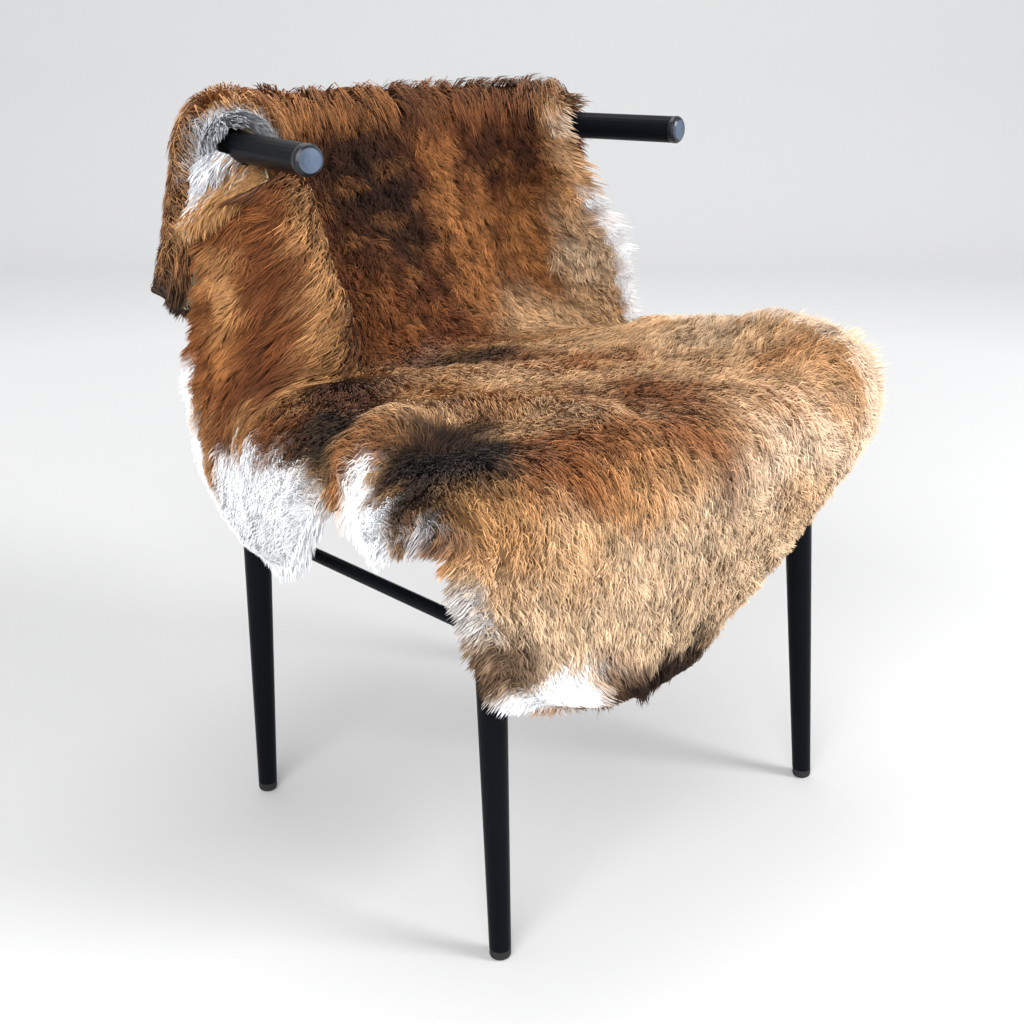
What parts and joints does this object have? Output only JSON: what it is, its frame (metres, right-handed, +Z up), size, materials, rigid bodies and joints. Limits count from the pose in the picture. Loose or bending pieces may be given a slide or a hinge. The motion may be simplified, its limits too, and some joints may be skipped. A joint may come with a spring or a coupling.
{
  "type": "long-haired sheepskin throw draped over a round-rail steel armchair",
  "caption": "Long-haired sheepskin with its natural ragged outline, draped over the bow rail, back and seat of a slim steel armchair with tapered legs.",
  "frame": {"origin": "centre of the whole object's footprint at floor level, where the glides stand", "axes": "+Z up; the chair's front faces -Y; +X is to the right for someone who looks at the chair's front"},
  "size_m": [0.6646, 0.6874, 0.7984],
  "materials": {
    "wool": "long straight wool in chestnut, honey and umber patches with white edges",
    "steel": "satin black powder coat",
    "cap": "blue-black satin plastic",
    "seat": "plain black seat board",
    "glide": "matt black rubber"
  },
  "bodies": {
    "root": {"arm_cap_left": "cap", "arm_cap_right": "cap", "bow_rail": "steel", "glide_back_left": "glide", "glide_back_right": "glide", "glide_front_left": "glide", "glide_front_right": "glide", "leg_back_left": "steel", "leg_back_right": "steel", "leg_front_left": "steel", "leg_front_right": "steel", "seat": "seat", "seat_rail_back": "steel", "seat_rail_front": "steel", "seat_rail_left": "steel", "seat_rail_right": "steel", "sheepskin": "wool", "stretcher_back": "steel", "stretcher_front": "steel", "stretcher_left": "steel", "stretcher_right": "steel"}
  },
  "joints": []
}
